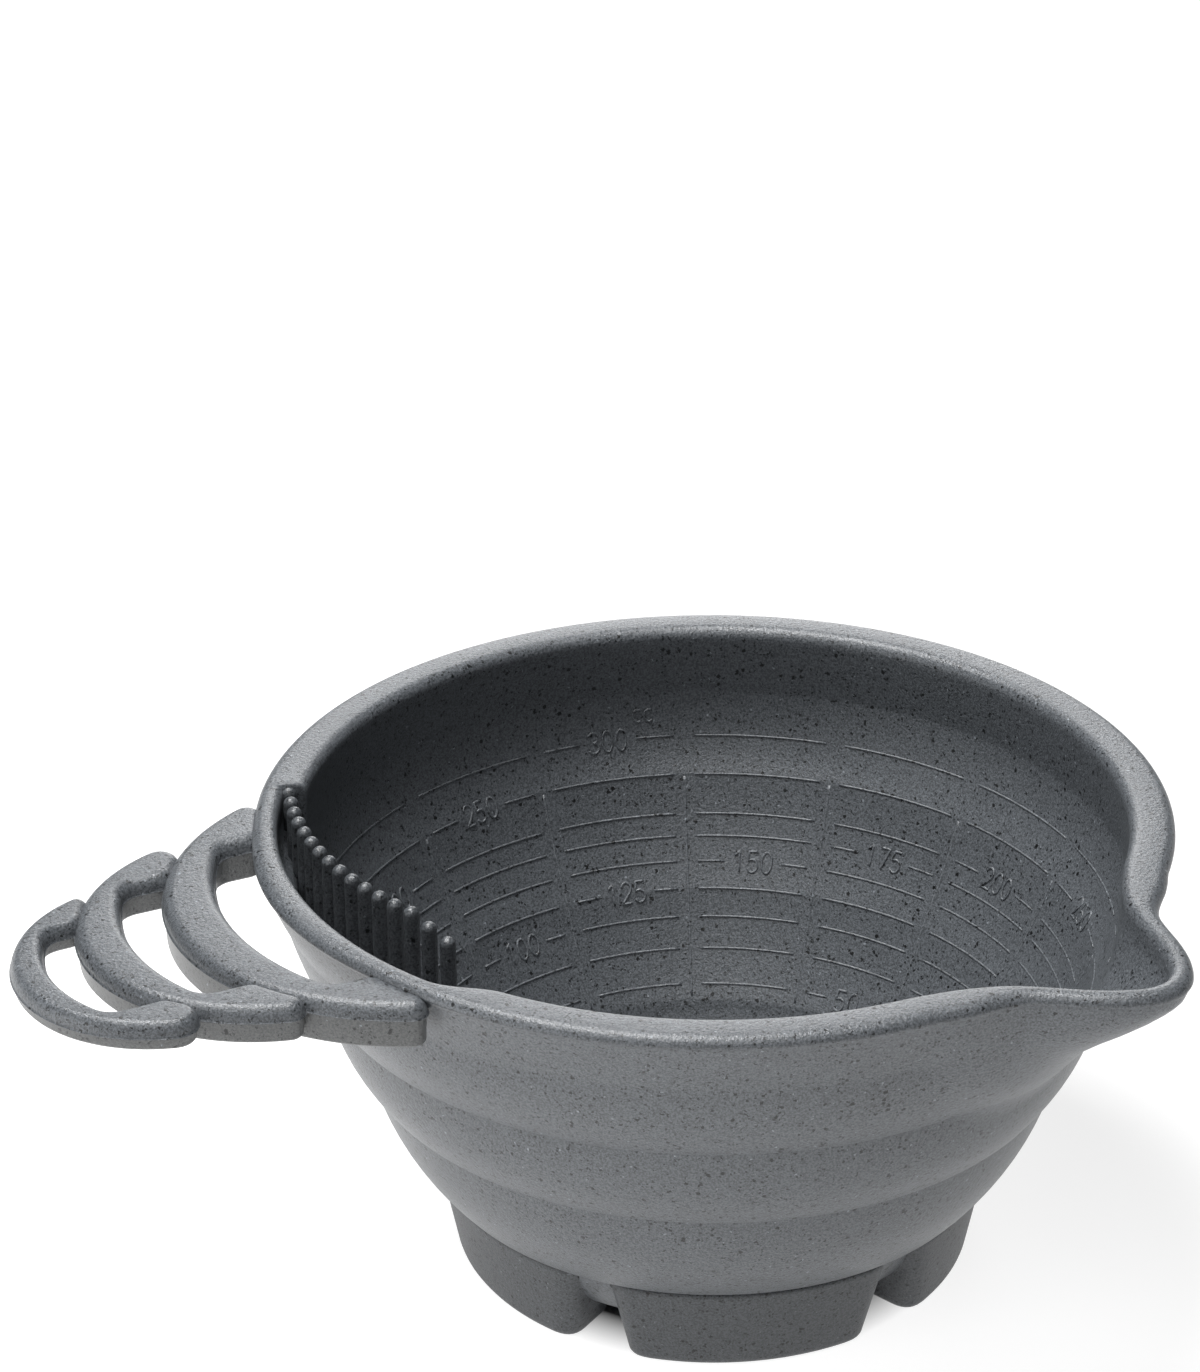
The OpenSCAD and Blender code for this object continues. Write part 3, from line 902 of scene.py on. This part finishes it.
def build_feet():
    pieces = {}
    steps = [(z / FOOT_TOP_Z, grow) for z, grow in FOOT_EDGE]
    steps += [(share, 0.0) for share in np.linspace(0.1, 1.0, 8)]
    underside = OUTER[OUTER[:, 1] < CREASE_LOWER[1]]
    underside = underside[np.argsort(underside[:, 0])]
    for k, (before, after) in enumerate(zip(SLOT_ANGLES, SLOT_ANGLES[1:])):
        middle = math.radians((before + after) / 2)
        c, s = math.cos(middle), math.sin(middle)

        def place(u, v, z):
            r = math.hypot(u, v)
            ceiling = float(np.interp(r, underside[:, 0], underside[:, 1])) + FOOT_SINK
            ceiling = max(ceiling, FOOT_LOWEST_CEILING)
            return np.array([u * c - v * s, u * s + v * c, min(z, ceiling)])

        half_pitch = (after - before) / 2
        layers = [(foot_section(share, grow, half_pitch), share * FOOT_TOP_Z) for share, grow in steps]
        name = f"foot_{k + 1}"
        verts, faces = layered_solid(layers, place)
        pieces[name] = add_object(name, verts, faces)
    return pieces


# ---------------------------------------- raised lines and numerals


def wall_point(angle, z, lift):
    """A point of the inside wall at an angle and height, lifted off it towards the axis."""
    r = float(wall_inner_r(z))
    dr = float(wall_inner_r(z + 0.3) - wall_inner_r(z - 0.3)) / 0.6
    size = math.hypot(1.0, dr)
    rr, zz = r - lift / size, z + lift * dr / size
    a = math.radians(angle)
    return np.array([rr * math.cos(a), rr * math.sin(a), zz])


def rib(verts, faces, path, width, height):
    """A rounded rib on the wall that follows a path of (angle, z) points."""
    section = [(-0.5, -0.12), (-0.42, 0.45), (-0.18, 0.95), (0.18, 0.95), (0.42, 0.45), (0.5, -0.12)]
    mid_r = float(wall_inner_r(path[0][1]))
    flat = [(math.radians(a) * mid_r, z) for a, z in path]
    start = len(verts)
    n = len(section)
    for i, (a, z) in enumerate(path):
        before, after = flat[max(i - 1, 0)], flat[min(i + 1, len(flat) - 1)]
        d = np.array([after[0] - before[0], after[1] - before[1]])
        d /= max(np.linalg.norm(d), 1e-9)
        side = np.array([-d[1], d[0]])
        for w, h in section:
            da = side[0] * w * width / mid_r
            verts.append(wall_point(a + math.degrees(da), z + side[1] * w * width, h * height))
    for i in range(len(path) - 1):
        for k in range(n):
            m = (k + 1) % n
            a = start + i * n
            faces.append([a + k, a + m, a + n + m, a + n + k])
    faces.append([start + k for k in reversed(range(n))])
    last = start + (len(path) - 1) * n
    faces.append([last + k for k in range(n)])


def in_comb(angle, z):
    """Whether a place lies behind the comb, where the wall bears no marks."""
    behind = COMB_START - UNMARKED_BEFORE < angle % 360.0 < COMB_END + UNMARKED_AFTER
    return behind and z > UNMARKED_LOW_Z


def has_label(level, sector):
    """Whether a level's numeral stands in a sector: one line lower in each sector than the last."""
    return (sector - level) % LABEL_PERIOD == 0


def build_lines():
    verts, faces = [], []
    for level, (value, z) in enumerate(LEVELS):
        r = float(wall_inner_r(z))
        gap = math.degrees(LINE_GAP / r)
        label = math.degrees((len(str(value)) * DIGITS[2] + LABEL_MARGIN) / r)
        for sector in range(SECTORS):
            start = FIRST_EDGE + SECTOR * sector + gap / 2
            end = start + SECTOR - gap
            mid = (start + end) / 2
            if in_comb(mid, z):
                continue
            spans = [(start, end)]
            if has_label(level, sector):
                spans = [(start, mid - label / 2), (mid + label / 2, end)]
            for a, b in spans:
                steps = max(2, int((b - a) / 1.2))
                path = [(a + (b - a) * k / steps, z) for k in range(steps + 1)]
                rib(verts, faces, path, LINE_W, LINE_H)
    return {"graduation_lines": add_object("graduation_lines", verts, faces)}


def build_meridians():
    verts, faces = [], []
    for sector in range(SECTORS):
        a = FIRST_EDGE + SECTOR * sector
        top = MERIDIAN_TOP_AT_COMB if in_comb(a, MERIDIAN_TOP) else MERIDIAN_TOP
        heights = np.linspace(MERIDIAN_BOTTOM, top, 34)
        rib(verts, faces, [(a, float(z)) for z in heights], LINE_W, MERIDIAN_H)
    return {"meridian_lines": add_object("meridian_lines", verts, faces)}


def bow(cx, cy, rx, ry, a0, a1, n=12):
    """Points of an arc of an ellipse between two angles in degrees."""
    angles = (math.radians(a) for a in np.linspace(a0, a1, n + 1))
    return [(cx + rx * math.cos(a), cy + ry * math.sin(a)) for a in angles]


def glyph(d):
    """Strokes of a plain numeral, or of the letter c, in a box one wide and two high."""
    if d == "0":
        return [bow(0.5, 1.0, 0.5, 1.0, 90, 450, 24)]
    if d == "1":
        return [[(0.1, 1.55), (0.55, 2.0), (0.55, 0.0)]]
    if d == "2":
        return [bow(0.5, 1.45, 0.48, 0.55, 170, -25) + [(0.5, 0.6), (0.0, 0.0), (1.0, 0.0)]]
    if d == "3":
        return [bow(0.45, 1.5, 0.47, 0.5, 160, -90) + bow(0.45, 0.5, 0.53, 0.5, 90, -160)]
    if d == "5":
        return [[(0.92, 2.0), (0.14, 2.0), (0.05, 1.12)] + bow(0.45, 0.62, 0.53, 0.62, 118, -155)]
    if d == "7":
        return [[(0.0, 2.0), (1.0, 2.0), (0.4, 0.0)]]
    return [bow(0.55, 1.0, 0.55, 1.0, 50, 310, 18)]


def write(verts, faces, text, angle, z, sizes):
    """Characters on the inside wall, centred on an angle and height, read from the axis."""
    height, width, advance, stroke = sizes
    r = float(wall_inner_r(z))
    lean = float(wall_inner_r(z + 1) - wall_inner_r(z - 1)) / 2
    rise = 1 / math.hypot(1.0, lean)
    for i, char in enumerate(text):
        middle = (i - (len(text) - 1) / 2) * advance
        for line in glyph(char):
            path = []
            for x, y in resample(np.array(line) * [width, height / 2], 0.35):
                turned = math.degrees((middle + x - width / 2) / r)
                path.append((angle - turned, z + (y - height / 2) * rise))
            rib(verts, faces, path, stroke, MARK_RELIEF)


def build_numerals():
    verts, faces = [], []
    for level, (value, z) in enumerate(LEVELS):
        for sector in range(SECTORS):
            mid = FIRST_EDGE + SECTOR * (sector + 0.5)
            if has_label(level, sector) and not in_comb(mid, z):
                write(verts, faces, str(value), mid, z, DIGITS)
    return {"graduation_numerals": add_object("graduation_numerals", verts, faces)}


def build_units():
    verts, faces = [], []
    for sector in range(SECTORS):
        mid = FIRST_EDGE + SECTOR * (sector + 0.5)
        if has_label(0, sector) and not in_comb(mid, UNIT_Z):
            write(verts, faces, "cc", mid - UNIT_SHIFT, UNIT_Z, UNITS)
    return {"unit_marks": add_object("unit_marks", verts, faces)}


# ---------------------------------------- materials


class Nodes:
    """Short helpers for a node tree."""

    def __init__(self, name):
        self.material = bpy.data.materials.new(name)
        self.material.use_nodes = True
        self.tree = self.material.node_tree
        self.tree.nodes.clear()

    def add(self, kind, **inputs):
        node = self.tree.nodes.new(kind)
        for key, value in inputs.items():
            node.inputs[key.replace("_", " ")].default_value = value
        return node

    def link(self, a, out, b, into):
        self.tree.links.new(a.outputs[out], b.inputs[into])

    def calc(self, kind, operation):
        """A Math or VectorMath node with its operation set."""
        node = self.add(kind)
        node.operation = operation
        return node

    def noise(self, coords, scale, detail, roughness=0.5, distortion=0.0):
        node = self.add("ShaderNodeTexNoise", Scale=scale, Detail=detail)
        node.inputs["Roughness"].default_value = roughness
        node.inputs["Distortion"].default_value = distortion
        self.link(coords, "Object", node, "Vector")
        return node

    def ramp(self, source, low, high):
        """0 below low and 1 above high, with a soft step between them."""
        node = self.add("ShaderNodeMapRange", From_Min=low, From_Max=high)
        node.interpolation_type = "SMOOTHSTEP"
        self.link(source, "Fac", node, "Value")
        return node

    def warped(self, coords, scale, amount):
        """Coordinates shaken by a noise, so that what is drawn on them gets ragged edges."""
        noise = self.noise(coords, scale, 2.0)
        shake = self.calc("ShaderNodeVectorMath", "SCALE")
        shake.inputs["Scale"].default_value = amount
        self.link(noise, "Color", shake, 0)
        moved = self.calc("ShaderNodeVectorMath", "ADD")
        self.link(coords, "Object", moved, 0)
        self.link(shake, "Vector", moved, 1)
        return moved

    def specks(self, place, scale, share, size):
        """1 inside dots of up to size, in a share of the cells, and 0 elsewhere."""
        cells = self.add("ShaderNodeTexVoronoi", Scale=scale)
        self.link(place, "Vector", cells, "Vector")
        pick = self.add("ShaderNodeSeparateColor")
        self.link(cells, "Color", pick, 0)
        radius = self.add("ShaderNodeMapRange", From_Min=1 - share, To_Max=size)
        self.link(pick, 0, radius, "Value")
        inside = self.calc("ShaderNodeMath", "LESS_THAN")
        self.link(cells, "Distance", inside, 0)
        self.link(radius, "Result", inside, 1)
        return inside

    def mix(self, factor, a, b):
        """a where the factor is 0 and b where it is 1; a and b are colours or nodes."""
        node = self.add("ShaderNodeMix")
        node.data_type = "RGBA"
        if isinstance(factor, (int, float)):
            node.inputs[0].default_value = factor
        else:
            self.tree.links.new(factor.outputs[0], node.inputs[0])
        for value, slot in ((a, 6), (b, 7)):
            if isinstance(value, tuple):
                node.inputs[slot].default_value = value
            else:
                self.tree.links.new(value.outputs[2], node.inputs[slot])
        return node

    def finish(self, shader):
        """Sends the shader to the surface and gives the material."""
        self.link(shader, "BSDF", self.add("ShaderNodeOutputMaterial"), "Surface")
        return self.material


def speckled_plastic(name, share, roughness, parting=None):
    """Slate plastic with a sandy grain, many fine dark flecks and a few pale specks.
    Below the height parting it is plainer, warmer and paler; the paler, warmer colour is painted light,
    the floor's glow on the lower flanks."""
    n = Nodes(name)
    base = [c * share for c in SLATE]
    coords = n.add("ShaderNodeTexCoord")
    sand = n.noise(coords, 3300.0, 2.0, 0.7)

    def tone(amount):
        return tuple(c * amount for c in base) + (1.0,)

    mottle = n.noise(coords, 240.0, 3.0, 0.6)
    fine = n.mix(n.ramp(sand, 0.40, 0.60), tone(1 - GRAIN), tone(1 + GRAIN))
    coarse = n.mix(n.ramp(mottle, 0.35, 0.65), tone(0.92), tone(1.08))
    colour = n.mix(0.2, fine, coarse)
    if parting is not None:
        colour = n.mix(above_height(n, coords, parting), lower_half(n, sand, base), colour)
    ragged = n.warped(coords, 3200.0, 0.0007)
    for scale, fleck_share, size, amount in FLECKS:
        colour = n.mix(n.specks(ragged, scale, fleck_share, size), colour, tone(amount))
    blots = n.noise(coords, 700.0, 4.0, 0.6, 0.8)
    colour = n.mix(n.ramp(blots, 0.685, 0.70), colour, tone(0.05))

    relief = n.noise(coords, 2000.0, 3.0, 0.7)
    bumps = n.add("ShaderNodeBump", Strength=BUMP, Distance=BUMP_DEPTH)
    n.link(relief, "Fac", bumps, "Height")
    low, high = roughness - ROUGHNESS_SPREAD, roughness + ROUGHNESS_SPREAD
    rough = n.add("ShaderNodeMapRange", To_Min=low, To_Max=high)
    n.link(sand, "Fac", rough, "Value")
    shader = n.add("ShaderNodeBsdfPrincipled", Specular_IOR_Level=0.55)
    n.link(colour, 2, shader, "Base Color")
    n.link(rough, "Result", shader, "Roughness")
    n.link(bumps, "Normal", shader, "Normal")
    return n.finish(shader)


def above_height(n, coords, height):
    """1 above a height and 0 below it."""
    place = n.add("ShaderNodeSeparateXYZ")
    n.link(coords, "Object", place, "Vector")
    above = n.calc("ShaderNodeMath", "GREATER_THAN")
    above.inputs[1].default_value = height
    n.link(place, "Z", above, 0)
    return above


def lower_half(n, sand, base):
    """Colour below the mould's parting line, paler and warmer: painted light for the floor's glow on the
    lower flanks.
    """
    warm = [c * tint for c, tint in zip(base, PAINTED_UNDERGLOW_TINT)]
    dark = tuple(c * 0.55 for c in warm) + (1.0,)
    return n.mix(n.ramp(sand, 0.38, 0.62), dark, tuple(warm) + (1.0,))


def glowing_white(name):
    """A pale floor whose glow rises along one direction, and fades out under the object: a painted shadow
    under the bowl.
    """
    n = Nodes(name)
    coords = n.add("ShaderNodeTexCoord")
    along = n.calc("ShaderNodeVectorMath", "DOT_PRODUCT")
    along.inputs[1].default_value = turn(*FLOOR_GLOW_WAY)
    n.link(coords, "Object", along, 0)
    low, high = FLOOR_GLOW
    reach = {"From_Min": -FLOOR_GLOW_REACH, "From_Max": FLOOR_GLOW_REACH}
    glow = n.add("ShaderNodeMapRange", To_Min=low, To_Max=high, **reach)
    n.link(along, "Value", glow, "Value")
    # Painted shadow: the glow dies away under the bowl, within the FLOOR_SHADE distances
    away = n.calc("ShaderNodeVectorMath", "LENGTH")
    n.link(coords, "Object", away, 0)
    dark, clear = FLOOR_SHADE
    fade = n.add("ShaderNodeMapRange", From_Min=dark, From_Max=clear)
    n.link(away, "Value", fade, "Value")
    strength = n.calc("ShaderNodeMath", "MULTIPLY")
    n.link(glow, "Result", strength, 0)
    n.link(fade, "Result", strength, 1)
    shader = n.add("ShaderNodeBsdfPrincipled", Base_Color=FLOOR_COLOUR, Roughness=0.9)
    shader.inputs["Specular IOR Level"].default_value = 0.1
    shader.inputs["Emission Color"].default_value = (1.0, 1.0, 1.0, 1.0)
    n.link(strength, "Value", shader, "Emission Strength")
    return n.finish(shader)


# ---------------------------------------- stage, light, camera


def turn(x, y, z):
    """A point given with +Y away from the camera, in the part's frame."""
    c, s = math.cos(CAMERA_TURN), math.sin(CAMERA_TURN)
    return Vector((c * x - s * y, s * x + c * y, z))


def build_floor():
    h, z = FLOOR_HALF, FLOOR_Z
    mesh = bpy.data.meshes.new("studio_floor")
    mesh.from_pydata([(-h, -h, z), (h, -h, z), (h, h, z), (-h, h, z)], [], [(0, 1, 2, 3)])
    floor = bpy.data.objects.new("studio_floor", mesh)
    bpy.context.scene.collection.objects.link(floor)
    floor.data.materials.append(glowing_white("studio_white"))


def area_light(name, place, size, power):
    data = bpy.data.lights.new(name, "AREA")
    data.energy = power
    data.shape = "SQUARE"
    data.size = size
    lamp = bpy.data.objects.new(name, data)
    bpy.context.scene.collection.objects.link(lamp)
    lamp.location = place
    lamp.rotation_mode = "QUATERNION"
    lamp.rotation_quaternion = (Vector(AIM) - place).to_track_quat("-Z", "Y")


def build_light():
    world = bpy.data.worlds.new("studio")
    bpy.context.scene.world = world
    world.use_nodes = True
    tree = world.node_tree
    coords = tree.nodes.new("ShaderNodeTexCoord")
    split = tree.nodes.new("ShaderNodeSeparateXYZ")
    tree.links.new(coords.outputs["Generated"], split.inputs["Vector"])
    fade = tree.nodes.new("ShaderNodeMapRange")
    fade.inputs["From Max"].default_value = WORLD_FADE_Z
    fade.inputs["To Min"].default_value = WORLD_LOW
    fade.inputs["To Max"].default_value = WORLD_HIGH
    tree.links.new(split.outputs["Z"], fade.inputs["Value"])
    tree.links.new(fade.outputs["Result"], tree.nodes["Background"].inputs["Strength"])
    for name, place, size, power in LAMPS:
        area_light(name, turn(*place), size, power)


def build_camera():
    data = bpy.data.cameras.new("camera")
    data.lens = CAMERA_LENS
    data.sensor_width = 36.0
    data.clip_start = 0.01
    data.clip_end = 50.0
    camera = bpy.data.objects.new("camera", data)
    bpy.context.scene.collection.objects.link(camera)
    pitch, yaw, roll = (math.radians(a) for a in (CAMERA_PITCH, CAMERA_YAW, CAMERA_ROLL))
    ahead = turn(math.sin(yaw) * math.cos(pitch), math.cos(yaw) * math.cos(pitch), -math.sin(pitch))
    right = ahead.cross(Vector((0, 0, 1))).normalized()
    up = right.cross(ahead)
    c, s = math.cos(roll), math.sin(roll)
    right, up = right * c + up * s, up * c - right * s
    basis = Matrix((right, up, -ahead)).transposed()
    camera.rotation_mode = "QUATERNION"
    camera.location = CAMERA_PLACE
    camera.rotation_quaternion = basis.to_quaternion()
    bpy.context.scene.camera = camera
    bpy.context.scene.view_settings.view_transform = "Standard"


# ---------------------------------------- assembly


BUILDERS = (
    build_bowl,
    build_handle,
    build_comb,
    build_feet,
    build_lines,
    build_meridians,
    build_numerals,
    build_units,
)


def main():
    pieces = {}
    for build in BUILDERS:
        pieces.update(build())
    materials = {}
    for name, (share, roughness) in PLASTICS.items():
        parting = HANDLE_PARTING * MM if name == "handle_plastic" else None
        materials[name] = speckled_plastic(name, share, roughness, parting)
    slots = {row["node"]: row["material_slot"] for row in frame["record"]["subparts"]}
    for node, obj in pieces.items():
        obj.data.materials.append(materials[slots[node]])
        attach(obj, BODY)
        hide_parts(node)


main()
build_floor()
build_light()
build_camera()
